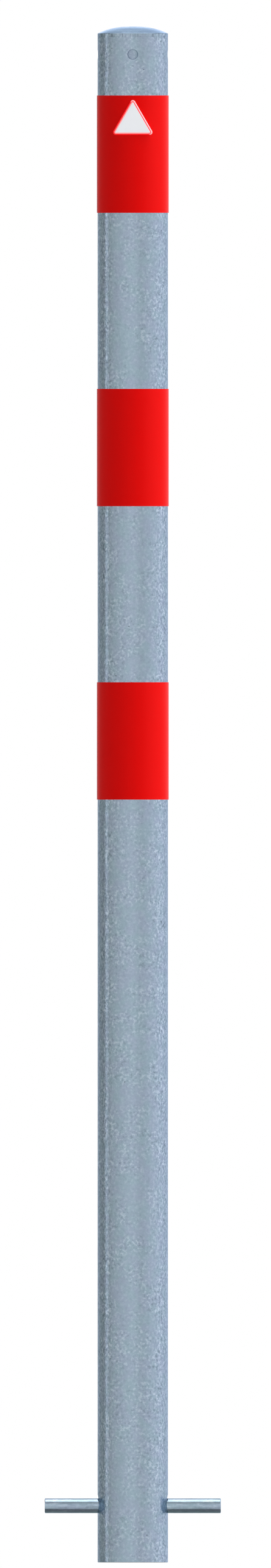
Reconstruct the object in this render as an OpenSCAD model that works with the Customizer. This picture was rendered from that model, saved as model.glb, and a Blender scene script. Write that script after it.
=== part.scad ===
// Barrier post for setting in concrete.
// A galvanised steel tube is closed by a domed cap, carries three wrapped reflective bands
// and a badge, and is keyed into the ground by a loose cross bar through its foot.
// Millimetres, +Z up. The origin is the centre of the tube's foot, and the cross bar lies along X.

/* [Tube] */
// Outside diameter of the tube
tube_d = 60; // [50:0.5:90]
// Wall thickness of the tube
tube_wall = 2; // [1.5:0.1:3.5]
// Length of the tube, without its cap
tube_length = 1300; // [1100:10:1800]
// Width of the broken edges at the tube's cut ends
tube_edge = 0.3; // [0.1:0.1:0.8]

/* [Upper holes] */
// Diameter of the holes round the top of the tube
upper_hole_d = 9; // [6:0.5:12]
// How far the hole centres lie below the tube's upper end
upper_hole_drop = 15; // [12:0.5:18]
// Number of holes round the tube
upper_hole_count = 4; // [2:1:4]

/* [Cap] */
// Height of the cap's rim, which carries on the tube's outside
cap_rim_h = 3; // [2:0.5:6]
// Width of the flat ledge between the rim's edge and the dome
cap_ledge = 1; // [0.6:0.1:3]
// Height of the dome above the rim
cap_dome_h = 5.8; // [3:0.1:12]
// Thickness of the cap under the dome
cap_crown = 4; // [3:0.5:6]
// Wall thickness of the cap's spigot
spigot_wall = 3; // [2:0.5:5]
// Depth of the spigot inside the tube
spigot_length = 26; // [22:1:40]
// Gap all round between the spigot's upper end and the tube's bore
spigot_gap = 0.1; // [0.05:0.05:0.3]
// How much thinner the spigot is all round at its lower end
spigot_draft = 0.4; // [0.1:0.1:1]
// Height and width of the chamfer that leads the spigot in
spigot_lead = 1.2; // [0.5:0.1:1.8]
// Radius in the corners between the spigot and the crown
spigot_fillet = 3; // [1:0.5:5]

/* [Reflective bands] */
// Height of each band
band_h = 100; // [60:5:140]
// Bare tube between two bands
band_space = 150; // [60:5:180]
// Bare tube above the uppermost band
band_drop = 50; // [30:1:80]
// Thickness of the band's film
band_t = 0.55; // [0.3:0.05:1]
// Gap that the glue fills between the tube and the film
band_glue = 0.05; // [0.05:0.01:0.2]
// Width over which the end of a band is stuck over its start, at the back
band_lap = 14; // [8:1:24]
// Length of the slope on which the upper layer climbs over the start
band_climb = 3; // [1.5:0.5:6]

/* [Badge] */
// Distance between the centres of the badge's rounded corners
badge_side = 29; // [20:0.5:32]
// Radius of the badge's corners
badge_corner_r = 2.2; // [2.1:0.1:4]
// Width of the bevel round the badge's face
badge_bevel = 1.9; // [1:0.1:2]
// Depth of the bevel
badge_bevel_depth = 1.2; // [0.6:0.1:1.6]
// Thickness of the badge at its middle
badge_t = 2; // [1.8:0.1:4]
// Distance from the band's upper edge to the badge's upper corner
badge_drop = 4; // [2:0.5:30]
// Gap that the glue fills between the band and the badge
badge_glue = 0.05; // [0.05:0.01:0.2]

/* [Anchor] */
// Diameter of the cross bar
anchor_d = 12.6; // [8:0.1:15]
// Length of the cross bar
anchor_length = 150; // [120:5:240]
// Width of the chamfer at the bar's ends
anchor_chamfer = 0.5; // [0.2:0.1:1.5]
// Diameter of the holes that the bar is pushed through
anchor_hole_d = 16; // [15.5:0.5:20]
// Height of the hole centres above the foot
anchor_hole_z = 50; // [30:1:90]

/* [Hidden] */
BAND_NODES = ["band_upper", "band_middle", "band_lower"];

$fn = 96;
// Overrun of a cutting shape past the surface that it cuts
past = 1;

tube_r = tube_d / 2;
bore_r = tube_r - tube_wall;
upper_hole_z = tube_length - upper_hole_drop;

spigot_r = bore_r - spigot_gap;
dome_base_r = tube_r - cap_ledge;
// The dome is part of a sphere through its edge and its top
dome_r = (pow(dome_base_r, 2) + pow(cap_dome_h, 2)) / (2 * cap_dome_h);
dome_centre_z = cap_rim_h + cap_dome_h - dome_r;

band_inner_r = tube_r + band_glue;
band_r = band_inner_r + band_t;
band_pitch = band_h + band_space;
band_lap_angle = arc_angle(band_lap, band_r);
band_climb_angle = arc_angle(band_climb, band_r);
// How far the slope reaches into the upper layer, in degrees
lap_overrun = 0.1;
// The direction of the post's back
BACK = 90;

// Height of the badge's corner centres above and below its middle
badge_corner_dist = badge_side / sqrt(3);
badge_top_z = band_top_z(0) - badge_drop;
badge_z = badge_top_z - badge_corner_r - badge_corner_dist;
badge_half_w = badge_side / 2 + badge_corner_r;
saddle_r = band_r + badge_glue;
// How far back the saddle has curved away at the badge's edge
saddle_depth = saddle_r - sqrt(pow(saddle_r, 2) - pow(badge_half_w, 2));
// Thickness of the badge before it is hollowed, with some to spare behind
badge_h = badge_t + saddle_depth + past;

// The loose bar lies on the bottom of its holes
anchor_z = anchor_hole_z - (anchor_hole_d - anchor_d) / 2;

function arc_angle(length, radius) = length / radius * 180 / PI;
function band_top_z(i) = tube_length - band_drop - i * band_pitch;
function on_circle(radius, angle) = [radius * cos(angle), radius * sin(angle)];

// A steel tube with broken edges, drilled round its top for the cap and across its foot for the bar
module post_tube() {
    color("#96a8b6")
    difference() {
        rotate_extrude()
            polygon([
                [bore_r + tube_edge, 0],
                [tube_r - tube_edge, 0],
                [tube_r, tube_edge],
                [tube_r, tube_length - tube_edge],
                [tube_r - tube_edge, tube_length],
                [bore_r + tube_edge, tube_length],
                [bore_r, tube_length - tube_edge],
                [bore_r, tube_edge],
            ]);
        for (i = [0 : upper_hole_count - 1])
            rotate([0, 0, -90 + i * 360 / upper_hole_count])
                translate([tube_r - tube_wall - past, 0, upper_hole_z])
                    rotate([0, 90, 0])
                        cylinder(d = upper_hole_d, h = tube_wall + 2 * past);
        translate([0, 0, anchor_hole_z])
            rotate([0, 90, 0])
                cylinder(d = anchor_hole_d, h = tube_d + 2 * past, center = true);
    }
}

// Half section of the cap's rim, dome and spigot, with the tube's upper end at height 0
module cap_outside() {
    foot_r = spigot_r - spigot_draft;
    difference() {
        polygon([
            [0, cap_rim_h + cap_dome_h],
            [tube_r, cap_rim_h + cap_dome_h],
            [tube_r, 0],
            [spigot_r, 0],
            [foot_r, spigot_lead - spigot_length],
            [foot_r - spigot_lead, -spigot_length],
            [0, -spigot_length],
        ]);
        // What is turned away above the rim to leave the dome
        difference() {
            translate([0, cap_rim_h])
                square([tube_r + past, cap_dome_h + past]);
            translate([0, dome_centre_z])
                circle(r = dome_r, $fn = 360);
        }
        // The broken edge of the rim
        translate([tube_r, cap_rim_h])
            rotate(45)
                square(tube_edge * sqrt(2), center = true);
    }
}

// The hollow under the crown, which follows the dome and is rounded into the spigot
module cap_hollow() {
    hollow_r = spigot_r - spigot_draft - spigot_wall;
    corner_x = hollow_r - spigot_fillet;
    corner_z = dome_centre_z + sqrt(pow(dome_r - cap_crown, 2) - pow(corner_x, 2)) - spigot_fillet;
    intersection() {
        union() {
            translate([0, -spigot_length - past])
                square([hollow_r, spigot_length + past + corner_z]);
            translate([corner_x, corner_z])
                circle(r = spigot_fillet);
            translate([0, -spigot_length - past])
                square([corner_x, spigot_length + past + cap_rim_h + cap_dome_h]);
        }
        translate([0, dome_centre_z])
            circle(r = dome_r - cap_crown, $fn = 360);
    }
}

// A domed cap whose rim stands on the tube's end and whose hollow spigot is driven into the bore
module end_cap() {
    color("#9cb2c6")
    translate([0, 0, tube_length])
        rotate_extrude()
            difference() {
                cap_outside();
                cap_hollow();
            }
}

// A strip of reflective film wrapped round the tube and lapped over itself at the back
module band(i) {
    color("#cc0c0b")
    translate([0, 0, band_top_z(i) - band_h]) {
        difference() {
            cylinder(r = band_r, h = band_h);
            translate([0, 0, -past])
                cylinder(r = band_inner_r, h = band_h + 2 * past);
        }
        rotate([0, 0, BACK - band_lap_angle / 2])
            rotate_extrude(angle = band_lap_angle)
                translate([band_r - band_t / 2, 0])
                    square([band_t * 1.5, band_h]);
        rotate([0, 0, BACK - band_lap_angle / 2])
            linear_extrude(band_h)
                polygon([
                    on_circle(band_r, -band_climb_angle),
                    on_circle(band_r + band_t, 0),
                    on_circle(band_r + band_t, lap_overrun),
                    on_circle(band_r - band_t / 2, lap_overrun),
                ]);
    }
}

// The badge lying on its back, before it is hollowed: three turned corners and the skin round them
module badge_blank() {
    hull()
        for (corner = [90, 210, 330])
            translate(on_circle(badge_corner_dist, corner))
                rotate_extrude($fn = 32)
                    polygon([
                        [0, 0],
                        [badge_corner_r, 0],
                        [badge_corner_r, badge_h - badge_bevel_depth],
                        [badge_corner_r - badge_bevel, badge_h],
                        [0, badge_h],
                    ]);
}

// A flat-faced triangular badge with a bevelled edge, hollowed behind to sit on the upper band
module badge() {
    color("#e2e5ea")
    difference() {
        translate([0, badge_h - badge_t - saddle_r, badge_z])
            rotate([90, 0, 0])
                badge_blank();
        translate([0, 0, badge_z])
            cylinder(r = saddle_r, h = 4 * badge_side, center = true);
    }
}

// A round bar with chamfered ends, pushed loose through the holes in the foot
module anchor_bar() {
    r = anchor_d / 2;
    half = anchor_length / 2;
    color("#8fa0ae")
    translate([0, 0, anchor_z])
        rotate([0, 90, 0])
            rotate_extrude()
                polygon([
                    [0, -half],
                    [r - anchor_chamfer, -half],
                    [r, -half + anchor_chamfer],
                    [r, half - anchor_chamfer],
                    [r - anchor_chamfer, half],
                    [0, half],
                ]);
}

post_tube();
end_cap();
anchor_bar();
badge();
for (i = [0 : len(BAND_NODES) - 1])
    band(i);
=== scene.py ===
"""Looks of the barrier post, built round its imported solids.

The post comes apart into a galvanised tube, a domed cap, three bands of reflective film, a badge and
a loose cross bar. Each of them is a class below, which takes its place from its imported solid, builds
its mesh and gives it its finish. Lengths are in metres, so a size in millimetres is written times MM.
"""

import logging
import math
from dataclasses import dataclass
from enum import Enum
from typing import ClassVar

import bmesh
import bpy
from mathutils import Matrix, Vector


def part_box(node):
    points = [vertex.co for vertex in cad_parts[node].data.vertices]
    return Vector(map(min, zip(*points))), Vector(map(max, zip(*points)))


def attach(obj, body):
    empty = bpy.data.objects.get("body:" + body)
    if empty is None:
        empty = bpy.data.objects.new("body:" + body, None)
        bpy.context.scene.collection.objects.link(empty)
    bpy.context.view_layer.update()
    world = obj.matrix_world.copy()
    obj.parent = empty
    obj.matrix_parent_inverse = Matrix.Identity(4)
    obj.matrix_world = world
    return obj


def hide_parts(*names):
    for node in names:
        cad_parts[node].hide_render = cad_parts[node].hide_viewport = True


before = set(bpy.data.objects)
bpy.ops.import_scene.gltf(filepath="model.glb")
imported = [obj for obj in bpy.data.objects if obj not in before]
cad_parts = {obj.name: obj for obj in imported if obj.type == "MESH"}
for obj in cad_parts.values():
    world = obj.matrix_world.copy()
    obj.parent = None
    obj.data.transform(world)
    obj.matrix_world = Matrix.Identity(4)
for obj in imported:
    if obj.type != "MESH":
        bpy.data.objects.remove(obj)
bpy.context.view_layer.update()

MM = 0.001
BODY = "root"
LOG = logging.getLogger("barrier_post")

# Angle in degrees above which an edge of a piece stays sharp
CREASE = 30.0

# Input and output sockets of a Mix node that mixes colours
MIX_SHARE = 0
MIX_FIRST = 6
MIX_SECOND = 7
MIX_RESULT = 2


class Slot(Enum):
    """Names for the material slots, one for each finish."""

    TUBE = "galvanised_tube"
    CAP = "galvanised_cap"
    BAR = "galvanised_bar"
    FILM = "red_film"
    BADGE = "badge_plastic"


class Grain(Enum):
    """How the zinc's pattern is stretched: how often it changes along X, Y and Z, against an even one."""

    EVEN = (1.0, 1.0, 1.0)
    DRAWN_ALONG_X = (0.3, 1.0, 1.0)


def linear(code: str) -> tuple[float, float, float, float]:
    """Turns an sRGB hex colour into a linear one.

    Args:
        code: The colour as #rrggbb.

    Returns:
        Linear red, green and blue, and an alpha of 1.
    """
    channels = [int(code[i : i + 2], 16) / 255 for i in (1, 3, 5)]
    red, green, blue = (c / 12.92 if c <= 0.04045 else ((c + 0.055) / 1.055) ** 2.4 for c in channels)
    return red, green, blue, 1.0


def grey(level: float) -> tuple[float, float, float, float]:
    """A linear grey of that level, with an alpha of 1."""
    return level, level, level, 1.0


def per_metre(size_mm: float) -> float:
    """The texture scale at which one feature of a pattern is about size_mm wide."""
    return 1.0 / (size_mm * MM)


def add_node(
    tree: bpy.types.NodeTree,
    kind: str,
    settings: dict[str, object] | None = None,
    sockets: dict[str | int, object] | None = None,
    stops: list[tuple[float, tuple[float, float, float, float]]] | None = None,
) -> bpy.types.Node:
    """Adds one node with its settings, socket values and links.

    Args:
        tree: The node tree that takes the node.
        kind: Blender's type name for the node.
        settings: The node's own properties by name.
        sockets: Values, or other nodes' output sockets, by the input's name or number.
        stops: Position and colour of each stop, for a colour ramp.

    Returns:
        The new node.
    """
    node = tree.nodes.new(kind)
    for name, value in (settings or {}).items():
        setattr(node, name, value)
    for name, value in (sockets or {}).items():
        if isinstance(value, bpy.types.NodeSocket):
            tree.links.new(value, node.inputs[name])
        else:
            node.inputs[name].default_value = value
    for number, (position, colour) in enumerate(stops or []):
        elements = node.color_ramp.elements
        element = elements[number] if number < len(elements) else elements.new(position)
        element.position = position
        element.color = colour
    return node


def new_material(name: str) -> tuple[bpy.types.Material, bpy.types.NodeTree]:
    """Makes an empty node material.

    Args:
        name: Name of the material.

    Returns:
        The material and its node tree, without nodes.
    """
    material = bpy.data.materials.new(name)
    material.use_nodes = True
    material.node_tree.nodes.clear()
    return material, material.node_tree


def smooth_faces(mesh: bpy.types.Mesh, crease: float = CREASE) -> None:
    """Shades a mesh smooth, with its creases left sharp.

    Args:
        mesh: The mesh.
        crease: Angle in degrees above which an edge stays sharp.
    """
    mesh.shade_smooth()
    mesh.set_sharp_from_angle(angle=math.radians(crease))


def mesh_object(bm: bmesh.types.BMesh, name: str, crease: float = CREASE) -> bpy.types.Object:
    """Closes a bmesh, turns its faces outwards and makes it an object with smooth faces.

    Args:
        bm: The bmesh, which is freed.
        name: Name of the object and its mesh.
        crease: Angle in degrees above which an edge stays sharp.

    Returns:
        The new object, at the origin.
    """
    bmesh.ops.remove_doubles(bm, verts=bm.verts, dist=0.001 * MM)
    bmesh.ops.recalc_face_normals(bm, faces=bm.faces)
    mesh = bpy.data.meshes.new(name)
    bm.to_mesh(mesh)
    bm.free()
    smooth_faces(mesh, crease)
    item = bpy.data.objects.new(name, mesh)
    bpy.context.scene.collection.objects.link(item)
    return item


def turned(profile: list[tuple[float, float]], segments: int, axis: Vector) -> bmesh.types.BMesh:
    """Turns a profile once round an axis through the origin.

    Args:
        profile: Distance from the axis and place along it, of each corner of the closed profile. A side
            that lies on the axis is left open.
        segments: Number of steps in a full turn.
        axis: Direction of the axis, along X or Z.

    Returns:
        The turned solid.
    """
    across = Vector((0.0, -1.0, 0.0))
    bm = bmesh.new()
    verts = [bm.verts.new(across * radius + axis * place) for radius, place in profile]
    sides = [(i, (i + 1) % len(verts)) for i in range(len(verts))]
    loop = [bm.edges.new((verts[i], verts[j])) for i, j in sides if max(profile[i][0], profile[j][0]) > 0]
    bmesh.ops.spin(
        bm, geom=verts + loop, cent=(0, 0, 0), axis=axis, angle=math.tau, steps=segments, use_merge=True
    )
    return bm


def carve(item: bpy.types.Object, cutter: bpy.types.Object) -> None:
    """Cuts one closed mesh out of another for good, and removes the cutter.

    Args:
        item: The object that is cut.
        cutter: The object whose solids are taken away.
    """
    cut = item.modifiers.new("cut", "BOOLEAN")
    cut.object = cutter
    cut.operation = "DIFFERENCE"
    cut.solver = "EXACT"
    depsgraph = bpy.context.evaluated_depsgraph_get()
    carved = bpy.data.meshes.new_from_object(item.evaluated_get(depsgraph), depsgraph=depsgraph)
    item.modifiers.clear()
    item.data = carved
    bpy.data.objects.remove(cutter)


def hand_over(item: bpy.types.Object, node: str, material: bpy.types.Material) -> None:
    """Dresses a new piece and puts it in place of its solid.

    Args:
        item: The finished piece.
        node: The solid that it stands for.
        material: The finish.
    """
    item.data.materials.clear()
    item.data.materials.append(material)
    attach(item, BODY)
    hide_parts(node)
    LOG.info("%s stands for %s, with %d faces", item.name, node, len(item.data.polygons))


@dataclass(frozen=True)
class GalvanisedSteel:
    """Hot-dip galvanised steel: zinc that froze on the steel in soft clouds of blue-grey.

    Attributes:
        name: Name of the material.
        teal: Colour of the greener clouds.
        violet: Colour of the redder clouds.
        fleck: Colour of the small pale crystals.
        shade: Colour of the dull zinc between them.
        pit: Colour of the pinholes.
        sheen: Tint of the reflection at a low angle.
        grain: How the pattern is stretched.
        smoothest: Roughness where the zinc is brightest.
        dullest: Roughness where it is dullest.
        swell: Height of the coat's unevenness, in mm.
        calm: Strength of the crystals at the front and back.
        unrest: Their strength at the sides.
        streaks: Strength of the upright streaks at the sides.
    """

    name: str = "hot_dip_zinc_on_tube"
    teal: str = "#9fb5c2"
    violet: str = "#a3b2c5"
    fleck: str = "#c9d9e6"
    shade: str = "#7f909c"
    pit: str = "#414d54"
    sheen: str = "#d9e4f2"
    grain: Grain = Grain.EVEN
    smoothest: float = 0.16
    dullest: float = 0.3
    swell: float = 0.18
    calm: float = 0.55
    unrest: float = 1.0
    streaks: float = 0.65

    def colour(
        self, tree: bpy.types.NodeTree, place: bpy.types.NodeSocket, pattern: bpy.types.NodeSocket
    ) -> bpy.types.NodeSocket:
        """Paints the zinc's colour.

        Args:
            tree: The material's node tree.
            place: Where a point is on the post.
            pattern: The same, stretched by the grain.

        Returns:
            The colour.
        """
        across = add_node(tree, "ShaderNodeSeparateXYZ", None, {"Vector": place}).outputs["X"]
        aside = add_node(tree, "ShaderNodeMath", {"operation": "ABSOLUTE"}, {0: across}).outputs[0]
        clouded = self.clouds(tree, pattern)
        mottled = self.crystals(tree, clouded, place, pattern, aside)
        streaked = self.runs(tree, mottled, place, aside)
        return self.pinholes(tree, streaked, place)

    def clouds(self, tree: bpy.types.NodeTree, pattern: bpy.types.NodeSocket) -> bpy.types.NodeSocket:
        """Lets the grey drift between a greener and a redder one, in clouds as wide as a thumb.

        Args:
            tree: The material's node tree.
            pattern: Where a point is on the post, stretched by the grain.

        Returns:
            The clouded colour.
        """
        clouds = add_node(
            tree, "ShaderNodeTexNoise", None, {"Vector": pattern, "Scale": per_metre(11), "Detail": 3.0}
        )
        drift = add_node(
            tree,
            "ShaderNodeMapRange",
            {"interpolation_type": "SMOOTHSTEP"},
            {"Value": clouds.outputs[0], "From Min": 0.32, "From Max": 0.68},
        )
        return add_node(
            tree,
            "ShaderNodeMix",
            {"data_type": "RGBA"},
            {MIX_SHARE: drift.outputs[0], MIX_FIRST: linear(self.teal), MIX_SECOND: linear(self.violet)},
        ).outputs[MIX_RESULT]

    def crystals(
        self,
        tree: bpy.types.NodeTree,
        under: bpy.types.NodeSocket,
        place: bpy.types.NodeSocket,
        pattern: bpy.types.NodeSocket,
        aside: bpy.types.NodeSocket,
    ) -> bpy.types.NodeSocket:
        """Strews small pale crystals in swarms, with duller zinc between them.

        Args:
            tree: The material's node tree.
            under: The colour below them.
            place: Where a point is on the post.
            pattern: The same, stretched by the grain.
            aside: How far the point lies to the left or right of the post's middle.

        Returns:
            The mottled colour.
        """
        crystals = add_node(
            tree,
            "ShaderNodeTexNoise",
            None,
            {"Vector": pattern, "Scale": per_metre(2.3), "Detail": 1.4, "Distortion": 0.3},
        )
        swarms = add_node(
            tree, "ShaderNodeTexNoise", None, {"Vector": place, "Scale": per_metre(19), "Detail": 1.0}
        )
        swarm = add_node(
            tree,
            "ShaderNodeMapRange",
            {"interpolation_type": "SMOOTHSTEP"},
            {"Value": swarms.outputs[0], "From Min": 0.38, "From Max": 0.6, "To Min": 0.35, "To Max": 1.0},
        )
        # The tube lay on its back in the bath, so the zinc is calmer at its front than at its sides
        unrest = add_node(
            tree,
            "ShaderNodeMapRange",
            {"interpolation_type": "SMOOTHSTEP"},
            {
                "Value": aside,
                "From Min": 10 * MM,
                "From Max": 27 * MM,
                "To Min": self.calm,
                "To Max": self.unrest,
            },
        )
        strength = add_node(
            tree, "ShaderNodeMath", {"operation": "MULTIPLY"}, {0: swarm.outputs[0], 1: unrest.outputs[0]}
        )
        flecked = self.spots(tree, under, self.fleck, crystals, (0.5, 0.7), strength)
        return self.spots(tree, flecked, self.shade, crystals, (0.46, 0.26), strength)

    def runs(
        self,
        tree: bpy.types.NodeTree,
        under: bpy.types.NodeSocket,
        place: bpy.types.NodeSocket,
        aside: bpy.types.NodeSocket,
    ) -> bpy.types.NodeSocket:
        """Draws fine upright streaks, where the molten zinc ran down the post's sides.

        Args:
            tree: The material's node tree.
            under: The colour below them.
            place: Where a point is on the post.
            aside: How far the point lies to the left or right of the post's middle.

        Returns:
            The streaked colour.
        """
        upright = add_node(tree, "ShaderNodeMapping", None, {"Vector": place, "Scale": (1.0, 1.0, 0.65)})
        streaks = add_node(
            tree,
            "ShaderNodeTexNoise",
            None,
            {"Vector": upright.outputs[0], "Scale": per_metre(1.7), "Detail": 1.0},
        )
        strength = add_node(
            tree,
            "ShaderNodeMapRange",
            {"interpolation_type": "SMOOTHSTEP"},
            {"Value": aside, "From Min": 13 * MM, "From Max": 26 * MM, "To Max": self.streaks},
        )
        lit = self.spots(tree, under, self.fleck, streaks, (0.5, 0.75), strength)
        return self.spots(tree, lit, self.shade, streaks, (0.48, 0.22), strength)

    def pinholes(
        self, tree: bpy.types.NodeTree, under: bpy.types.NodeSocket, place: bpy.types.NodeSocket
    ) -> bpy.types.NodeSocket:
        """Pricks the coat with pinholes, which show as dark dots, a few to a hand's width.

        Args:
            tree: The material's node tree.
            under: The colour round them.
            place: Where a point is on the post.

        Returns:
            The pricked colour.
        """
        cells = add_node(
            tree, "ShaderNodeTexVoronoi", None, {"Vector": place, "Scale": per_metre(17), "Randomness": 1.0}
        )
        dot = add_node(
            tree,
            "ShaderNodeMapRange",
            {"interpolation_type": "SMOOTHSTEP"},
            {"Value": cells.outputs["Distance"], "From Min": 0.05, "From Max": 0.02, "To Max": 0.6},
        )
        return add_node(
            tree,
            "ShaderNodeMix",
            {"data_type": "RGBA"},
            {MIX_SHARE: dot.outputs[0], MIX_FIRST: under, MIX_SECOND: linear(self.pit)},
        ).outputs[MIX_RESULT]

    @staticmethod
    def spots(
        tree: bpy.types.NodeTree,
        under: bpy.types.NodeSocket,
        colour: str,
        noise: bpy.types.Node,
        span: tuple[float, float],
        strength: bpy.types.Node,
    ) -> bpy.types.NodeSocket:
        """Lays spots of a colour over another.

        Args:
            tree: The material's node tree.
            under: The colour below the spots.
            colour: The colour of the spots.
            noise: The pattern that places them.
            span: The noise's values at a spot's edge and at its middle.
            strength: How strongly they show.

        Returns:
            The spotted colour.
        """
        edge, middle = span
        spot = add_node(
            tree,
            "ShaderNodeMapRange",
            {"interpolation_type": "SMOOTHSTEP"},
            {"Value": noise.outputs[0], "From Min": edge, "From Max": middle, "To Max": strength.outputs[0]},
        )
        return add_node(
            tree,
            "ShaderNodeMix",
            {"data_type": "RGBA"},
            {MIX_SHARE: spot.outputs[0], MIX_FIRST: under, MIX_SECOND: linear(colour)},
        ).outputs[MIX_RESULT]

    def relief(self, tree: bpy.types.NodeTree, pattern: bpy.types.NodeSocket) -> bpy.types.NodeSocket:
        """Gives the coat its runs and dimples.

        Args:
            tree: The material's node tree.
            pattern: Where a point is on the post, stretched by the grain.

        Returns:
            The height, from 0 to about 1.
        """
        # Slow swells bend the reflected edges of the studio, and small ones break them up
        swells = add_node(
            tree, "ShaderNodeTexNoise", None, {"Vector": pattern, "Scale": per_metre(9), "Detail": 1.0}
        )
        dimples = add_node(
            tree, "ShaderNodeTexNoise", None, {"Vector": pattern, "Scale": per_metre(3.2), "Detail": 2.0}
        )
        share = add_node(
            tree, "ShaderNodeMath", {"operation": "MULTIPLY"}, {0: swells.outputs[0], 1: 0.9}
        )
        return add_node(
            tree, "ShaderNodeMath", {"operation": "ADD"}, {0: share.outputs[0], 1: dimples.outputs[0]}
        ).outputs[0]

    def dullness(self, tree: bpy.types.NodeTree, place: bpy.types.NodeSocket) -> bpy.types.NodeSocket:
        """Lets the coat be brighter here and duller there.

        Args:
            tree: The material's node tree.
            place: Where a point is on the post.

        Returns:
            The roughness.
        """
        bloom = add_node(
            tree, "ShaderNodeTexNoise", None, {"Vector": place, "Scale": per_metre(6), "Detail": 2.0}
        )
        return add_node(
            tree,
            "ShaderNodeMapRange",
            None,
            {
                "Value": bloom.outputs[0],
                "From Min": 0.3,
                "From Max": 0.7,
                "To Min": self.smoothest,
                "To Max": self.dullest,
            },
        ).outputs[0]

    def make(self) -> bpy.types.Material:
        """Builds the material.

        Returns:
            The material.
        """
        material, tree = new_material(self.name)
        place = add_node(tree, "ShaderNodeTexCoord").outputs["Object"]
        pattern = add_node(
            tree, "ShaderNodeMapping", None, {"Vector": place, "Scale": self.grain.value}
        ).outputs[0]
        bump = add_node(
            tree, "ShaderNodeBump", None, {"Height": self.relief(tree, pattern), "Distance": self.swell * MM}
        )
        shader = add_node(
            tree,
            "ShaderNodeBsdfPrincipled",
            None,
            {
                "Base Color": self.colour(tree, place, pattern),
                "Metallic": 1.0,
                "Roughness": self.dullness(tree, place),
                "Specular Tint": linear(self.sheen),
                "Normal": bump.outputs[0],
            },
        )
        add_node(tree, "ShaderNodeOutputMaterial", None, {"Surface": shader.outputs[0]})
        return material


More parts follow.
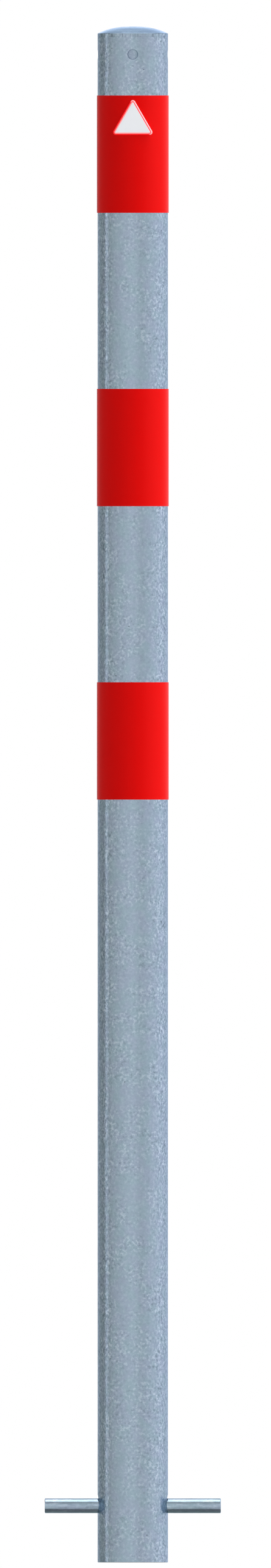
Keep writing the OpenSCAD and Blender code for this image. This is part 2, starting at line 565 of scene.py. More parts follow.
@dataclass(frozen=True)
class GalvanisedCap(GalvanisedSteel):
    """The same zinc on the turned cap: painted paler and bluer on the dome, a painted reflection of the
    light above it, with dark ticks left round its rim.

    Attributes:
        dome: Colour of the dome, painted paler and bluer than the zinc below as a painted reflection of the
            light above.
        glint: Colour of the dome's rings, a paler painted glint.
        tick: Colour of the marks round the rim, and of its edge.
        spigot: Roughness of the spigot.
        rim_low: Height of the rim's lower edge.
        rim_high: Height of the rim's upper edge.
        rim_edge: Height of the rim's broken upper edge.
    """

    name: str = "hot_dip_zinc_on_cap"
    swell: float = 0.05
    dome: str = "#a4bdd8"
    glint: str = "#bad3ed"
    tick: str = "#66747f"
    spigot: float = 0.4
    sheen: str = "#d3e2f6"
    rim_low: float = 1300 * MM
    rim_high: float = 1303 * MM
    rim_edge: float = 0.3 * MM

    def colour(
        self, tree: bpy.types.NodeTree, place: bpy.types.NodeSocket, pattern: bpy.types.NodeSocket
    ) -> bpy.types.NodeSocket:
        """Paints the zinc's colour, with a painted paler and bluer reflection above the rim, and ticked on
        the rim.

        Args:
            tree: The material's node tree.
            place: Where a point is on the post.
            pattern: The same, stretched by the grain.

        Returns:
            The colour.
        """
        zinc = super().colour(tree, place, pattern)
        height = add_node(tree, "ShaderNodeSeparateXYZ", None, {"Vector": place}).outputs["Z"]
        # Fine rings like turning marks run round the dome, fainter here and stronger there. The dome and its
        # rings are painted paler and bluer than the zinc, a painted reflection of the light above
        level = add_node(tree, "ShaderNodeMapping", None, {"Vector": place, "Scale": (0.12, 0.12, 5.0)})
        rings = add_node(
            tree,
            "ShaderNodeTexNoise",
            None,
            {"Vector": level.outputs[0], "Scale": per_metre(4), "Detail": 2.0},
        )
        painted_dome_reflection = add_node(
            tree,
            "ShaderNodeValToRGB",
            None,
            {"Fac": rings.outputs[0]},
            [(0.3, linear(self.dome)), (0.7, linear(self.glint))],
        )
        above = add_node(
            tree,
            "ShaderNodeMapRange",
            None,
            {
                "Value": height,
                "From Min": self.rim_high - 0.02 * MM,
                "From Max": self.rim_high,
                "To Max": 0.8,
            },
        )
        with_painted_dome = add_node(
            tree,
            "ShaderNodeMix",
            {"data_type": "RGBA"},
            {MIX_SHARE: above.outputs[0], MIX_FIRST: zinc, MIX_SECOND: painted_dome_reflection.outputs[0]},
        )
        # Soft upright marks where a die gripped the rim, a few millimetres apart
        upright = add_node(tree, "ShaderNodeMapping", None, {"Vector": place, "Scale": (1.0, 1.0, 0.15)})
        marks = add_node(
            tree,
            "ShaderNodeTexNoise",
            None,
            {"Vector": upright.outputs[0], "Scale": per_metre(3.2), "Detail": 1.0},
        )
        mark = add_node(
            tree,
            "ShaderNodeMapRange",
            {"interpolation_type": "SMOOTHSTEP"},
            {"Value": marks.outputs[0], "From Min": 0.5, "From Max": 0.68, "To Max": 0.55},
        )
        # The rim's broken edge is painted dark
        edge_low = self.rim_high - self.rim_edge
        marked = self.between(tree, height, self.rim_low, edge_low, mark.outputs[0])
        dark_edge = self.between(tree, height, edge_low, self.rim_high, 0.9)
        share = add_node(tree, "ShaderNodeMath", {"operation": "MAXIMUM"}, {0: marked, 1: dark_edge})
        return add_node(
            tree,
            "ShaderNodeMix",
            {"data_type": "RGBA"},
            {
                MIX_SHARE: share.outputs[0],
                MIX_FIRST: with_painted_dome.outputs[MIX_RESULT],
                MIX_SECOND: linear(self.tick),
            },
        ).outputs[MIX_RESULT]

    @staticmethod
    def between(
        tree: bpy.types.NodeTree,
        height: bpy.types.NodeSocket,
        low: float,
        high: float,
        strength: bpy.types.NodeSocket | float,
    ) -> bpy.types.NodeSocket:
        """Limits a mark to a part of the cap's height.

        Args:
            tree: The material's node tree.
            height: Height of a point.
            low: Lower end of the part.
            high: Its upper end.
            strength: How strong the mark is there.

        Returns:
            The mark's strength, and none above or below.
        """
        inside = add_node(
            tree,
            "ShaderNodeMath",
            {"operation": "COMPARE"},
            {0: height, 1: (low + high) / 2, 2: (high - low) / 2 - 0.001 * MM},
        )
        return add_node(
            tree, "ShaderNodeMath", {"operation": "MULTIPLY"}, {0: inside.outputs[0], 1: strength}
        ).outputs[0]

    def dullness(self, tree: bpy.types.NodeTree, place: bpy.types.NodeSocket) -> bpy.types.NodeSocket:
        """Leaves the spigot dull below the rim.

        Args:
            tree: The material's node tree.
            place: Where a point is on the post.

        Returns:
            The roughness.
        """
        outside = super().dullness(tree, place)
        height = add_node(tree, "ShaderNodeSeparateXYZ", None, {"Vector": place}).outputs["Z"]
        return add_node(
            tree,
            "ShaderNodeMapRange",
            None,
            {
                "Value": height,
                "From Min": self.rim_low - 0.1 * MM,
                "From Max": self.rim_low,
                "To Min": self.spigot,
                "To Max": outside,
            },
        ).outputs[0]


@dataclass(frozen=True)
class ReflectiveFilm:
    """Red retroreflective film: acrylic over glass beads, smooth, with a soft pale gloss at a low angle.

    Attributes:
        name: Name of the material.
        red: Colour of the film.
        deep_red: Colour between the beads.
        roughness: How dull the acrylic is.
    """

    name: str = "acrylic_reflective_film"
    red: str = "#d90403"
    deep_red: str = "#d00302"
    roughness: float = 0.34

    def make(self) -> bpy.types.Material:
        """Builds the material.

        Returns:
            The material.
        """
        material, tree = new_material(self.name)
        place = add_node(tree, "ShaderNodeTexCoord").outputs["Object"]
        # The real beads are under 0.1 mm. Drawn as 0.5 mm, they give the red a faint grain
        beads = add_node(
            tree, "ShaderNodeTexVoronoi", None, {"Vector": place, "Scale": per_metre(0.5), "Randomness": 0.6}
        )
        colour = add_node(
            tree,
            "ShaderNodeMix",
            {"data_type": "RGBA"},
            {
                MIX_SHARE: beads.outputs["Distance"],
                MIX_FIRST: linear(self.red),
                MIX_SECOND: linear(self.deep_red),
            },
        )
        # The film follows the zinc below it, so its gloss is a little uneven
        swells = add_node(
            tree, "ShaderNodeTexNoise", None, {"Vector": place, "Scale": per_metre(14), "Detail": 1.0}
        )
        bump = add_node(
            tree, "ShaderNodeBump", None, {"Height": swells.outputs[0], "Distance": 0.08 * MM}
        )
        shader = add_node(
            tree,
            "ShaderNodeBsdfPrincipled",
            None,
            {
                "Base Color": colour.outputs[MIX_RESULT],
                "Roughness": self.roughness,
                "IOR": 1.49,
                "Specular IOR Level": 0.05,
                "Normal": bump.outputs[0],
            },
        )
        add_node(tree, "ShaderNodeOutputMaterial", None, {"Surface": shader.outputs[0]})
        return material


@dataclass(frozen=True)
class MouldedBadge:
    """Injection-moulded ABS: an off-white face, and a bevel painted from pink to red, partly its own red and
    partly a painted reflection of the red film, with a painted highlight and a fine red line along one side
    and a painted glow.

    Attributes:
        name: Name of the material.
        face: Colour of the flat face.
        blush: Colour of the bevel next to the face, a pink that is partly a painted reflection of the red
            film.
        red: Colour of the bevel's outside, its own red and a painted reflection of the red film.
        painted_highlight: Colour of the painted highlight, a pale line along the bevel that looks up to the
            right.
        painted_glow_strength: How strongly the bevel gives off its own colour as a painted glow.
        roughness: How dull the plastic is.
        face_y: Where the face lies along Y.
        bevel_depth: How far the bevel reaches behind the face.
        centre_z: Height of the badge's middle.
        reach: Distance from its middle to the face's right side.
    """

    face_y: float
    bevel_depth: float
    centre_z: float
    reach: float
    name: str = "moulded_abs_badge"
    face: str = "#ebedf1"
    blush: str = "#fb9da0"
    red: str = "#fb2027"
    painted_highlight: str = "#eaa6aa"
    painted_glow_strength: float = 0.3
    roughness: float = 0.38

    def colour(
        self, tree: bpy.types.NodeTree, place: bpy.types.NodeSocket, depth: bpy.types.NodeSocket
    ) -> bpy.types.NodeSocket:
        """Paints the face and the bevel.

        Args:
            tree: The material's node tree.
            place: Where a point is on the post.
            depth: How far down the bevel it lies, from 0 at the face to 1.

        Returns:
            The colour.
        """
        # To the left and below, the bevel goes from pink beside the face to full red, partly its own red and
        # partly a painted reflection of the red film
        left = add_node(
            tree,
            "ShaderNodeValToRGB",
            None,
            {"Fac": depth},
            [
                (0.0, linear(self.face)),
                (0.04, linear(self.blush)),
                (0.44, linear(self.blush)),
                (0.52, linear(self.red)),
                (1.0, linear(self.red)),
            ],
        )
        # The side that looks up to the right is painted pale, a painted highlight from the light up there,
        # with a fine red line along it
        right = add_node(
            tree,
            "ShaderNodeValToRGB",
            None,
            {"Fac": depth},
            [
                (0.0, linear(self.face)),
                (0.04, linear(self.blush)),
                (0.26, linear(self.red)),
                (0.44, linear(self.red)),
                (0.56, linear(self.painted_highlight)),
                (0.85, linear(self.painted_highlight)),
                (1.0, linear(self.blush)),
            ],
        )
        # That side looks 30 degrees upwards
        lean = math.radians(30)
        rightwards = add_node(
            tree,
            "ShaderNodeVectorMath",
            {"operation": "DOT_PRODUCT"},
            {0: place, 1: (math.cos(lean), 0.0, math.sin(lean))},
        )
        middle = self.centre_z * math.sin(lean)
        side = add_node(
            tree,
            "ShaderNodeMapRange",
            {"interpolation_type": "SMOOTHSTEP"},
            {
                "Value": rightwards.outputs["Value"],
                "From Min": middle + 0.75 * self.reach,
                "From Max": middle + self.reach,
            },
        )
        return add_node(
            tree,
            "ShaderNodeMix",
            {"data_type": "RGBA"},
            {MIX_SHARE: side.outputs[0], MIX_FIRST: left.outputs[0], MIX_SECOND: right.outputs[0]},
        ).outputs[MIX_RESULT]

    def make(self) -> bpy.types.Material:
        """Builds the material.

        Returns:
            The material.
        """
        material, tree = new_material(self.name)
        place = add_node(tree, "ShaderNodeTexCoord").outputs["Object"]
        parts = add_node(tree, "ShaderNodeSeparateXYZ", None, {"Vector": place})
        depth = add_node(
            tree,
            "ShaderNodeMapRange",
            None,
            {
                "Value": parts.outputs["Y"],
                "From Min": self.face_y,
                "From Max": self.face_y + self.bevel_depth,
            },
        )
        colour = self.colour(tree, place, depth.outputs[0])
        # The bevel gives off its own colour, a painted glow that makes it look more brightly lit
        painted_glow = add_node(
            tree,
            "ShaderNodeMapRange",
            None,
            {"Value": depth.outputs[0], "From Min": 0.02, "From Max": 0.1, "To Max": self.painted_glow_strength},
        )
        # A moulded face is never quite flat: a trace of flow shows in its gloss
        flow = add_node(
            tree, "ShaderNodeTexNoise", None, {"Vector": place, "Scale": per_metre(4), "Detail": 1.0}
        )
        bump = add_node(tree, "ShaderNodeBump", None, {"Height": flow.outputs[0], "Distance": 0.02 * MM})
        shader = add_node(
            tree,
            "ShaderNodeBsdfPrincipled",
            None,
            {
                "Base Color": colour,
                "Roughness": self.roughness,
                "IOR": 1.53,
                "Specular IOR Level": 0.2,
                "Emission Color": colour,
                "Emission Strength": painted_glow.outputs[0],
                "Normal": bump.outputs[0],
            },
        )
        add_node(tree, "ShaderNodeOutputMaterial", None, {"Surface": shader.outputs[0]})
        return material


@dataclass
class SteelTube:
    """The post's tube: a steel pipe, cut square, with holes near its top and through its foot.

    Attributes:
        node: The solid that it stands for.
        wall: Thickness of the steel.
        edge: Width of the broken edges at the cut ends.
        seam: Width of the outer edge below the cap, which the zinc all but fills.
        segments: Number of faces round the tube.
        upper_hole_d: Diameter of the holes near the top.
        upper_hole_drop: How far their centres lie below the top.
        upper_hole_count: Number of them.
        foot_hole_d: Diameter of the holes for the cross bar.
        foot_hole_z: Height of their centres.
        hole_segments: Number of faces round a hole.
        ring_distance: How far the edges above and below a hole lie from its centre, in hole diameters.
    """

    node: str = "post_tube"
    wall: float = 2 * MM
    edge: float = 0.3 * MM
    seam: float = 0.04 * MM
    segments: int = 192
    upper_hole_d: float = 9 * MM
    upper_hole_drop: float = 15 * MM
    upper_hole_count: int = 4
    foot_hole_d: float = 16 * MM
    foot_hole_z: float = 50 * MM
    hole_segments: int = 64
    ring_distance: float = 0.6

    def pipe(self, outer: float, length: float) -> bmesh.types.BMesh:
        """Turns the pipe, and rings it above and below its holes.

        Args:
            outer: Outside radius.
            length: Length of the pipe.

        Returns:
            The pipe before it is drilled.
        """
        bore = outer - self.wall
        bm = turned(
            [
                (bore + self.edge, 0.0),
                (outer - self.edge, 0.0),
                (outer, self.edge),
                (outer, length - self.seam),
                (outer - self.seam, length),
                (bore + self.edge, length),
                (bore, length - self.edge),
                (bore, self.edge),
            ],
            self.segments,
            Vector((0.0, 0.0, 1.0)),
        )
        upper_z = length - self.upper_hole_drop
        for centre, diameter in ((upper_z, self.upper_hole_d), (self.foot_hole_z, self.foot_hole_d)):
            for side in (-1, 1):
                bmesh.ops.bisect_plane(
                    bm,
                    geom=bm.verts[:] + bm.edges[:] + bm.faces[:],
                    plane_co=(0, 0, centre + side * self.ring_distance * diameter),
                    plane_no=(0, 0, 1),
                )
        return bm

    def drills(self, outer: float, length: float) -> bmesh.types.BMesh:
        """Makes the solids of the holes.

        Args:
            outer: Outside radius of the pipe.
            length: Length of the pipe.

        Returns:
            One drill for each upper hole, and one for both holes in the foot.
        """
        bm = bmesh.new()
        lying = Matrix.Rotation(math.pi / 2, 4, "Y")
        for number in range(self.upper_hole_count):
            turn = Matrix.Rotation(math.tau * number / self.upper_hole_count - math.pi / 2, 4, "Z")
            place = Matrix.Translation((outer - self.wall / 2, 0, length - self.upper_hole_drop))
            bmesh.ops.create_cone(
                bm,
                cap_ends=True,
                segments=self.hole_segments,
                radius1=self.upper_hole_d / 2,
                radius2=self.upper_hole_d / 2,
                depth=3 * self.wall,
                matrix=turn @ place @ lying,
            )
        bmesh.ops.create_cone(
            bm,
            cap_ends=True,
            segments=self.hole_segments,
            radius1=self.foot_hole_d / 2,
            radius2=self.foot_hole_d / 2,
            depth=3 * outer,
            matrix=Matrix.Translation((0, 0, self.foot_hole_z)) @ lying,
        )
        return bm

    def build(self) -> bpy.types.Object:
        """Builds, drills and dresses the tube.

        Returns:
            The piece.
        """
        low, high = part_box(self.node)
        outer, length = high.x, high.z - low.z
        tube = mesh_object(self.pipe(outer, length), "drilled_tube")
        carve(tube, mesh_object(self.drills(outer, length), "tube_drills"))
        smooth_faces(tube.data)
        hand_over(tube, self.node, GalvanisedSteel().make())
        return tube


@dataclass
class DomedCap:
    """The cap on the tube's upper end: a full dome on a rim, with a hollow spigot in the bore.

    Attributes:
        node: The solid that it stands for.
        dome_height: Height of the dome above the rim.
        fullness: How square the dome's shoulder is, where 2 is about a part of a sphere.
        rim_height: Height of the rim.
        ledge: Width of the flat between the dome and the rim's edge.
        edge: Width of the rim's broken upper edge.
        crown: Thickness of the dome.
        spigot_radius: Radius of the spigot's upper end.
        spigot_length: Length of the spigot.
        spigot_wall: Thickness of its wall.
        draft: How much thinner the spigot is all round at its lower end.
        lead: Width of the chamfer that leads it in.
        fillet: Radius in the corner under the crown.
        segments: Number of faces round the cap.
        steps: Number of faces from the top of the dome to its foot.
    """

    node: str = "end_cap"
    dome_height: float = 5.8 * MM
    fullness: float = 2.5
    rim_height: float = 3 * MM
    ledge: float = 0.4 * MM
    edge: float = 0.3 * MM
    crown: float = 4 * MM
    spigot_radius: float = 27.9 * MM
    spigot_length: float = 26 * MM
    spigot_wall: float = 3 * MM
    draft: float = 0.4 * MM
    lead: float = 1.2 * MM
    fillet: float = 3 * MM
    segments: int = 192
    steps: int = 28

    def profile(self, outer: float, rim_low: float) -> list[tuple[float, float]]:
        """Draws half of the cap's section.

        Args:
            outer: Radius of the rim.
            rim_low: Height of the rim's lower edge.

        Returns:
            Distance from the axis and height of each corner, from the top of the dome round to its inside.
        """
        rim_high = rim_low + self.rim_height
        base = outer - self.ledge
        foot = self.spigot_radius - self.draft
        end = rim_low - self.spigot_length
        hollow = foot - self.spigot_wall
        inner = hollow - self.fillet

        def dome(radius: float) -> tuple[float, float]:
            """A point of the dome, by its distance from the axis."""
            return radius, rim_high + self.dome_height * (1 - (radius / base) ** self.fullness)

        over = [dome(base * step / self.steps) for step in range(self.steps + 1)]
        rim = [(outer - self.edge, rim_high), (outer, rim_high - self.edge), (outer, rim_low)]
        spigot = [
            (self.spigot_radius, rim_low),
            (foot, end + self.lead),
            (foot - self.lead, end),
            (hollow, end),
        ]
        corner_z = dome(inner)[1] - self.crown - self.fillet
        turns = [math.radians(angle) for angle in range(0, 90, 15)]
        corner = [
            (inner + self.fillet * math.cos(turn), corner_z + self.fillet * math.sin(turn)) for turn in turns
        ]
        above = [dome(inner * (1 - step / self.steps)) for step in range(self.steps + 1)]
        under = [(radius, height - self.crown) for radius, height in above]
        return over + rim + spigot + corner + under

    def build(self) -> bpy.types.Object:
        """Builds and dresses the cap.

        Returns:
            The piece.
        """
        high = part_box(self.node)[1]
        rim_high = high.z - self.dome_height
        rim_low = rim_high - self.rim_height
        bm = turned(self.profile(high.x, rim_low), self.segments, Vector((0.0, 0.0, 1.0)))
        cap = mesh_object(bm, "turned_cap", crease=20.0)
        finish = GalvanisedCap(rim_low=rim_low, rim_high=rim_high, rim_edge=self.edge)
        hand_over(cap, self.node, finish.make())
        return cap


@dataclass
class FilmBands:
    """The three bands, each one strip of film wrapped round the tube and lapped over its own start.

    Attributes:
        names: The pieces, and the solids that they stand for.
        inner: Radius of the film's inside.
        film: Thickness of the film.
        lap: Width over which the end lies on the start.
        climb: Length over which the end climbs onto it.
        climb_steps: Number of faces along the climb.
        glue: Thickness of the glue in the lap.
        steps: Number of faces round the tube.
        corner: Radius of the film's cut edges.
    """

    names: tuple[str, ...] = ("band_upper", "band_middle", "band_lower")
    inner: float = 30.05 * MM
    film: float = 0.545 * MM
    lap: float = 14 * MM
    climb: float = 3 * MM
    climb_steps: int = 6
    glue: float = 0.01 * MM
    steps: int = 188
    corner: float = 0.08 * MM

    def strip(self, low: float, high: float) -> bmesh.types.BMesh:
        """Wraps one strip, from its start at the back once round the tube and up onto itself.

        Args:
            low: Height of the strip's lower edge.
            high: Height of its upper edge.

        Returns:
            The strip.
        """
        outer = self.inner + self.film
        lap_turn = self.lap / outer
        climb_turn = self.climb / outer
        rise = (self.film + self.glue) / self.climb_steps
        bm = bmesh.new()
        corners = [(self.inner, low), (outer, low), (outer, high), (self.inner, high)]
        start = bm.faces.new([bm.verts.new((radius, 0, z)) for radius, z in corners])
        back = Matrix.Rotation((math.pi - lap_turn) / 2, 3, "Z")
        bmesh.ops.rotate(bm, verts=bm.verts, cent=(0, 0, 0), matrix=back)
        end = self.sweep(bm, [start], math.tau - climb_turn, self.steps)
        for _ in range(self.climb_steps):
            end = self.sweep(bm, end, climb_turn / self.climb_steps, 1)
            for vert in {v for face in end for v in face.verts}:
                vert.co += Vector((vert.co.x, vert.co.y, 0)).normalized() * rise
        self.sweep(bm, end, lap_turn, max(2, round(self.steps * lap_turn / math.tau)))
        # Each sweep leaves its first face inside the strip, joined to faces on both sides
        hidden = [face for face in bm.faces if all(len(edge.link_faces) > 2 for edge in face.edges)]
        bmesh.ops.delete(bm, geom=hidden, context="FACES_ONLY")
        return bm

    @staticmethod
    def sweep(
        bm: bmesh.types.BMesh, faces: list[bmesh.types.BMFace], turn: float, steps: int
    ) -> list[bmesh.types.BMFace]:
        """Draws the end faces of the strip on round the tube.

        Args:
            bm: The strip so far.
            faces: Its end faces.
            turn: Angle of the sweep, in radians.
            steps: Number of steps.

        Returns:
            The new end faces.
        """
        swept = bmesh.ops.spin(
            bm, geom=faces, cent=(0, 0, 0), axis=(0, 0, 1), angle=turn, steps=steps, use_merge=False
        )
        return [item for item in swept["geom_last"] if isinstance(item, bmesh.types.BMFace)]

    def build(self) -> list[bpy.types.Object]:
        """Builds and dresses the bands.

        Returns:
            The pieces.
        """
        finish = ReflectiveFilm().make()
        bands = []
        for node in self.names:
            low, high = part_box(node)
            band = mesh_object(self.strip(low.z, high.z), node.replace("band", "film"))
            rounding = band.modifiers.new("cut_edges", "BEVEL")
            rounding.width = self.corner
            rounding.segments = 2
            rounding.limit_method = "ANGLE"
            rounding.angle_limit = math.radians(60)
            hand_over(band, node, finish)
            bands.append(band)
        return bands


@dataclass
class Badge:
    """The triangular badge, with a flat bare face, a bevelled rim and a back that is hollowed to the band.

    Attributes:
        node: The solid that it stands for.
        side: Distance between the centres of its rounded corners.
        corner: Radius of the corners.
        bevel: Width of the bevel.
        bevel_depth: Depth of the bevel.
        depth: Depth of the badge before its back is hollowed.
        seat: Radius of the hollowed back.
        strip: Width of the strips in which the back curves.
        edge: Radius of the rounded edges along the bevel.
        steps: Number of faces round a corner.
    """

    node: str = "badge"
    side: float = 29 * MM
    corner: float = 2.2 * MM
    bevel: float = 1.9 * MM
    bevel_depth: float = 1.2 * MM
    depth: float = 3.6 * MM
    seat: float = 30.65 * MM
    strip: float = 1.5 * MM
    edge: float = 0.12 * MM
    steps: int = 12

    def ring(self, bm: bmesh.types.BMesh, radius: float, height: float) -> list[bmesh.types.BMEdge]:
        """Draws a triangle with rounded corners and its apex along +Y.

        Args:
            bm: The mesh that takes it.
            radius: Radius of its corners.
            height: Height above the XY plane.

        Returns:
            Its edges.
        """
        edges = set(bm.edges)
        centre = Vector((self.side / math.sqrt(3), 0, height))
        starts, ends = [], []
        for corner in (90, 210, 330):
            middle = Matrix.Rotation(math.radians(corner), 3, "Z") @ centre
            reach = Matrix.Rotation(math.radians(corner - 60), 3, "Z") @ Vector((radius, 0, 0))
            starts.append(bm.verts.new(middle + reach))
            arc = bmesh.ops.spin(
                bm,
                geom=starts[-1:],
                cent=middle,
                axis=(0, 0, 1),
                angle=math.radians(120),
                steps=self.steps,
                use_merge=False,
            )
            ends += [item for item in arc["geom_last"] if isinstance(item, bmesh.types.BMVert)]
        for end, start in zip(ends, starts[1:] + starts[:1]):
            bm.edges.new((end, start))
        return [edge for edge in bm.edges if edge not in edges]

    def blank(self) -> bmesh.types.BMesh:
        """Shapes the badge on the XY plane, with its face up at height 0 and its apex along +Y.

        Returns:
            The badge, with a flat back.
        """
        bm = bmesh.new()
        face = self.ring(bm, self.corner - self.bevel, 0.0)
        outline = self.ring(bm, self.corner, -self.bevel_depth)
        back = self.ring(bm, self.corner, -self.depth)
        bmesh.ops.bridge_loops(bm, edges=face + outline)
        bmesh.ops.bridge_loops(bm, edges=outline + back)
        bmesh.ops.holes_fill(bm, edges=face + back)
        return bm

    def build(self) -> bpy.types.Object:
        """Builds and dresses the badge.

        Returns:
            The piece.
        """
        low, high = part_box(self.node)
        bm = self.blank()
        cuts = math.floor(self.side / 2 / self.strip)
        for number in range(-cuts, cuts + 1):
            bmesh.ops.bisect_plane(
                bm,
                geom=bm.verts[:] + bm.edges[:] + bm.faces[:],
                dist=0.02 * MM,
                plane_co=(number * self.strip, 0, 0),
                plane_no=(1, 0, 0),
            )
        back = [vert for vert in bm.verts if vert.co.z < -(self.bevel_depth + self.depth) / 2]
        apex_y = self.side / math.sqrt(3) + self.corner
        place = Matrix.Translation((0, low.y, high.z - apex_y)) @ Matrix.Rotation(math.pi / 2, 4, "X")
        bmesh.ops.transform(bm, matrix=place, verts=bm.verts)
        for vert in back:
            vert.co.y = -math.sqrt(self.seat**2 - vert.co.x**2)
        badge = mesh_object(bm, "badge_moulding", crease=20.0)
        rounding = badge.modifiers.new("soft_edges", "BEVEL")
        rounding.width = self.edge
        rounding.segments = 3
        rounding.limit_method = "ANGLE"
        rounding.angle_limit = math.radians(20)
        finish = MouldedBadge(
            face_y=low.y,
            bevel_depth=self.bevel_depth,
            centre_z=high.z - self.corner - self.side / math.sqrt(3),
            reach=self.side / math.sqrt(12) + self.corner - self.bevel,
        )
        hand_over(badge, self.node, finish.make())
        return badge


@dataclass
class CrossBar:
    """The loose bar through the foot: a cut length of round steel with chamfered ends.

    Attributes:
        node: The solid that it stands for.
        chamfer: Width of the chamfers.
        segments: Number of faces round the bar.
    """

    node: str = "anchor_bar"
    chamfer: float = 0.5 * MM
    segments: int = 96

    def build(self) -> bpy.types.Object:
        """Builds and dresses the bar.

        Returns:
            The piece.
        """
        low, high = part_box(self.node)
        radius = (high.z - low.z) / 2
        profile = [
            (0.0, low.x),
            (radius - self.chamfer, low.x),
            (radius, low.x + self.chamfer),
            (radius, high.x - self.chamfer),
            (radius - self.chamfer, high.x),
            (0.0, high.x),
        ]
        bm = turned(profile, self.segments, Vector((1.0, 0.0, 0.0)))
        bmesh.ops.translate(bm, verts=bm.verts, vec=(0, 0, (low.z + high.z) / 2))
        bar = mesh_object(bm, "cross_bar")
        finish = GalvanisedSteel(
            name="hot_dip_zinc_on_bar",
            grain=Grain.DRAWN_ALONG_X,
            smoothest=0.1,
            dullest=0.18,
            swell=0.1,
            calm=0.5,
            unrest=0.5,
            streaks=0.12,
        )
        hand_over(bar, self.node, finish.make())
        return bar


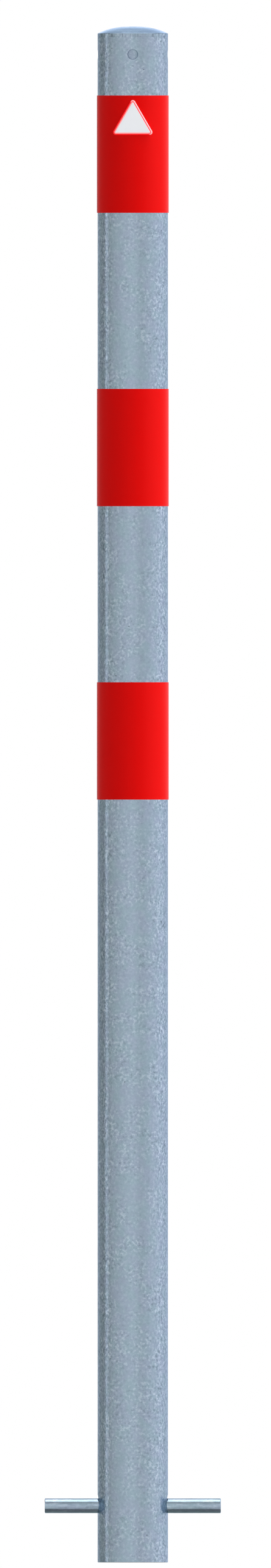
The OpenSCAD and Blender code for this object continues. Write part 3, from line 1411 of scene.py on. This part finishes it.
@dataclass
class Studio:
    """A plain pale studio: a floor, a soft light overhead and one from the right, and grey screens.

    The screens stand all round. They show in polished metal only, as the room does in a photograph of it.

    Attributes:
        picture_height: Height that the camera takes in.
        aim_x: Where the middle of the picture lies along X.
        aim_z: Its height.
        camera_distance: How far in front of the post the camera stands.
        floor_radius: Radius of the floor.
        floor_drop: How far the floor lies below the foot.
        floor_colour: Colour of the floor.
        fill: Brightness of the light from all round.
        overhead: Brightness of the light panel overhead.
        panel_size: Width and depth of the panel.
        panel_place: Where its middle is.
        key: Brightness of the light from the right, on a surface that faces it.
        key_azimuth: Where it comes from, in degrees to the right of the camera.
        key_height: Its height above the horizon, in degrees.
        key_width: How wide it looks, in degrees.
        screen_radius: How far away the screens stand.
        headroom: Brightest level that a colour ramp can take, as it holds each level divided by this.
        cloth: Colour of the dark cloth that lies behind the post.
    """

    picture_height: float = 1336.1 * MM
    aim_x: float = 2.31 * MM
    aim_z: float = 663.3 * MM
    camera_distance: float = 3.0
    floor_radius: float = 40.0
    floor_drop: float = 0.2 * MM
    floor_colour: str = "#e4e4e4"
    fill: float = 0.27
    overhead: float = 1.72
    panel_size: tuple[float, float] = (6.0, 5.1)
    panel_place: tuple[float, float, float] = (0.0, 0.05, 6.0)
    key: float = 1.11
    key_azimuth: float = 76.0
    key_height: float = 35.0
    key_width: float = 90.0
    screen_radius: float = 12.0
    headroom: float = 2.0
    cloth: str = "#8b948d"

    # Brightness of the screens, and how blue they are, by azimuth in degrees: 0 is behind the camera
    # and 90 is to the right
    WALL: ClassVar[tuple[tuple[float, float, float], ...]] = (
        (-180, 1.0, 1.0),
        (-172, 0.95, 1.0),
        (-164, 0.76, 1.0),
        (-146, 0.53, 0.97),
        (-136, 0.46, 0.96),
        (-116, 0.41, 0.96),
        (-103, 0.35, 0.97),
        (-98, 0.98, 1.04),
        (-92, 0.98, 1.04),
        (-88, 0.5, 0.96),
        (-72, 0.68, 0.98),
        (-30, 0.85, 1.0),
        (0, 0.94, 1.0),
        (28, 0.79, 1.0),
        (64, 0.91, 1.03),
        (105, 0.98, 1.07),
        (120, 0.95, 1.06),
        (128, 0.86, 1.04),
        (144, 0.94, 1.05),
        (164, 0.88, 1.05),
        (180, 1.0, 1.0),
    )
    # How the brightness changes with height above or below the horizon, in degrees
    RISE: ClassVar[tuple[tuple[float, float], ...]] = (
        (-90, 0.25),
        (-58, 0.28),
        (-47, 0.72),
        (-27, 0.86),
        (-4, 1.0),
        (14, 1.0),
        (35, 0.72),
        (56, 0.6),
        (90, 0.6),
    )
    # The same behind the post, where the backdrop is lit from above and is palest low down
    BACKDROP: ClassVar[tuple[tuple[float, float], ...]] = (
        (-90, 0.25),
        (-58, 0.28),
        (-47, 0.72),
        (-27, 0.86),
        (-4, 1.0),
        (5, 1.0),
        (11, 1.38),
        (20, 1.38),
        (26, 1.12),
        (32, 0.84),
        (38, 0.77),
        (90, 0.7),
    )

    def camera(self) -> None:
        """Stands the camera in front of the post, level and without perspective."""
        lens = bpy.data.cameras.new("camera")
        lens.type = "ORTHO"
        lens.ortho_scale = self.picture_height
        camera = bpy.data.objects.new("camera", lens)
        camera.location = (self.aim_x, -self.camera_distance, self.aim_z)
        camera.rotation_euler = (math.pi / 2, 0, 0)
        bpy.context.scene.collection.objects.link(camera)
        bpy.context.scene.camera = camera

    def floor(self) -> None:
        """Lays the pale floor, which is clear from below."""
        bm = bmesh.new()
        bmesh.ops.create_circle(bm, cap_ends=True, segments=96, radius=self.floor_radius)
        bmesh.ops.translate(bm, verts=bm.verts, vec=(0, 0, -self.floor_drop))
        floor = mesh_object(bm, "studio_floor")
        material, tree = new_material("matt_painted_floor")
        paint = add_node(
            tree,
            "ShaderNodeBsdfPrincipled",
            None,
            {"Base Color": linear(self.floor_colour), "Roughness": 0.9},
        )
        clear = add_node(tree, "ShaderNodeBsdfTransparent")
        below = add_node(tree, "ShaderNodeNewGeometry").outputs["Backfacing"]
        shader = add_node(
            tree, "ShaderNodeMixShader", None, {0: below, 1: paint.outputs[0], 2: clear.outputs[0]}
        )
        add_node(tree, "ShaderNodeOutputMaterial", None, {"Surface": shader.outputs[0]})
        floor.data.materials.append(material)
        floor.visible_glossy = False

    def screen_cloth(self) -> bpy.types.Material:
        """Lights the screens, with a brightness that changes round the post and with height.

        Returns:
            The material.
        """
        material, tree = new_material("grey_screen_cloth")
        place = add_node(tree, "ShaderNodeTexCoord").outputs["Object"]
        middle = add_node(
            tree,
            "ShaderNodeMapping",
            None,
            {"Vector": place, "Location": (0, 0, -self.aim_z), "Rotation": (0, 0, math.pi / 2)},
        )
        round_post = add_node(
            tree, "ShaderNodeTexGradient", {"gradient_type": "RADIAL"}, {"Vector": middle.outputs[0]}
        )
        shares = [(azimuth / 360 + 0.5, level / self.headroom, blue) for azimuth, level, blue in self.WALL]
        wall = add_node(
            tree,
            "ShaderNodeValToRGB",
            None,
            {"Fac": round_post.outputs["Fac"]},
            [(position, (share, share, share * blue, 1.0)) for position, share, blue in shares],
        )
        parts = add_node(tree, "ShaderNodeSeparateXYZ", None, {"Vector": middle.outputs[0]}).outputs
        upwards = add_node(
            tree,
            "ShaderNodeMapRange",
            None,
            {"Value": parts["Z"], "From Min": -self.screen_radius, "From Max": self.screen_radius},
        )
        beside, backdrop = (
            add_node(
                tree,
                "ShaderNodeValToRGB",
                None,
                {"Fac": upwards.outputs[0]},
                [
                    (math.sin(math.radians(angle)) / 2 + 0.5, grey(level / self.headroom))
                    for angle, level in levels
                ],
            )
            for levels in (self.RISE, self.BACKDROP)
        )
        behind = add_node(
            tree,
            "ShaderNodeMapRange",
            None,
            {
                "Value": parts["X"],
                "From Min": -0.1 * self.screen_radius,
                "From Max": -0.3 * self.screen_radius,
            },
        )
        height = add_node(
            tree,
            "ShaderNodeMix",
            {"data_type": "RGBA"},
            {MIX_SHARE: behind.outputs[0], MIX_FIRST: beside.outputs[0], MIX_SECOND: backdrop.outputs[0]},
        )
        tone = add_node(
            tree,
            "ShaderNodeMix",
            {"data_type": "RGBA", "blend_type": "MULTIPLY"},
            {MIX_SHARE: 1.0, MIX_FIRST: wall.outputs[0], MIX_SECOND: height.outputs[MIX_RESULT]},
        )
        # A dark cloth lies low behind the post, and keeps the underside of the cross bar dark
        below = add_node(
            tree,
            "ShaderNodeMapRange",
            None,
            {
                "Value": parts["Z"],
                "From Min": -0.35 * self.screen_radius,
                "From Max": -0.6 * self.screen_radius,
            },
        )
        cloth = add_node(
            tree, "ShaderNodeMath", {"operation": "MULTIPLY"}, {0: behind.outputs[0], 1: below.outputs[0]}
        )
        # Two ramps were multiplied, so the screens' strength makes up for both
        pale = add_node(
            tree,
            "ShaderNodeEmission",
            None,
            {"Color": tone.outputs[MIX_RESULT], "Strength": self.headroom**2},
        )
        dark = add_node(tree, "ShaderNodeEmission", None, {"Color": linear(self.cloth), "Strength": 1.0})
        shader = add_node(
            tree, "ShaderNodeMixShader", None, {0: cloth.outputs[0], 1: pale.outputs[0], 2: dark.outputs[0]}
        )
        add_node(tree, "ShaderNodeOutputMaterial", None, {"Surface": shader.outputs[0]})
        return material

    def screens(self) -> None:
        """Stands the grey screens round the post, as one shell whose brightness changes round it."""
        bm = bmesh.new()
        bmesh.ops.create_uvsphere(bm, u_segments=64, v_segments=32, radius=self.screen_radius)
        bmesh.ops.translate(bm, verts=bm.verts, vec=(0, 0, self.aim_z))
        shell = mesh_object(bm, "grey_screens")
        shell.data.materials.append(self.screen_cloth())
        shell.visible_camera = False
        shell.visible_diffuse = False
        shell.visible_transmission = False
        shell.visible_shadow = False

    def lights(self) -> None:
        """Hangs the panel overhead and sets the soft light from the right."""
        width, depth = self.panel_size
        panel = bpy.data.lights.new("overhead_panel", "AREA")
        panel.shape = "RECTANGLE"
        panel.size = width
        panel.size_y = depth
        panel.energy = self.overhead * math.pi * width * depth
        hung = bpy.data.objects.new("overhead_panel", panel)
        hung.location = self.panel_place
        hung.visible_camera = False
        bpy.context.scene.collection.objects.link(hung)

        key = bpy.data.lights.new("soft_key", "SUN")
        key.energy = self.key * math.pi
        key.angle = math.radians(self.key_width)
        azimuth, height = math.radians(self.key_azimuth), math.radians(self.key_height)
        towards = Vector(
            (
                math.sin(azimuth) * math.cos(height),
                -math.cos(azimuth) * math.cos(height),
                math.sin(height),
            )
        )
        stand = bpy.data.objects.new("soft_key", key)
        stand.rotation_euler = towards.to_track_quat("Z", "Y").to_euler()
        stand.visible_glossy = False
        bpy.context.scene.collection.objects.link(stand)

    def world(self) -> None:
        """Fills the studio with even light, and shows white to the camera and in gloss and glass."""
        world = bpy.data.worlds.new("studio")
        world.use_nodes = True
        tree = world.node_tree
        tree.nodes.clear()
        path = add_node(tree, "ShaderNodeLightPath").outputs
        seen = add_node(
            tree,
            "ShaderNodeMath",
            {"operation": "MAXIMUM"},
            {0: path["Is Camera Ray"], 1: path["Is Glossy Ray"]},
        )
        shown = add_node(
            tree,
            "ShaderNodeMath",
            {"operation": "MAXIMUM"},
            {0: seen.outputs[0], 1: path["Is Transmission Ray"]},
        )
        fill = add_node(tree, "ShaderNodeBackground", None, {"Color": grey(1.0), "Strength": self.fill})
        white = add_node(tree, "ShaderNodeBackground", None, {"Color": grey(1.0), "Strength": 1.0})
        sky = add_node(
            tree, "ShaderNodeMixShader", None, {0: shown.outputs[0], 1: fill.outputs[0], 2: white.outputs[0]}
        )
        add_node(tree, "ShaderNodeOutputWorld", None, {"Surface": sky.outputs[0]})
        bpy.context.scene.world = world

    def build(self) -> None:
        """Sets up the whole studio and leaves colours as they are written."""
        self.camera()
        self.floor()
        self.screens()
        self.lights()
        self.world()
        bpy.context.scene.view_settings.view_transform = "Standard"
        LOG.info("the studio stands")


def main() -> None:
    """Builds the studio and every piece of the post, in order."""
    logging.basicConfig(level=logging.INFO, format="%(message)s")
    Studio().build()
    SteelTube().build()
    DomedCap().build()
    FilmBands().build()
    Badge().build()
    CrossBar().build()


if __name__ == "__main__":
    main()
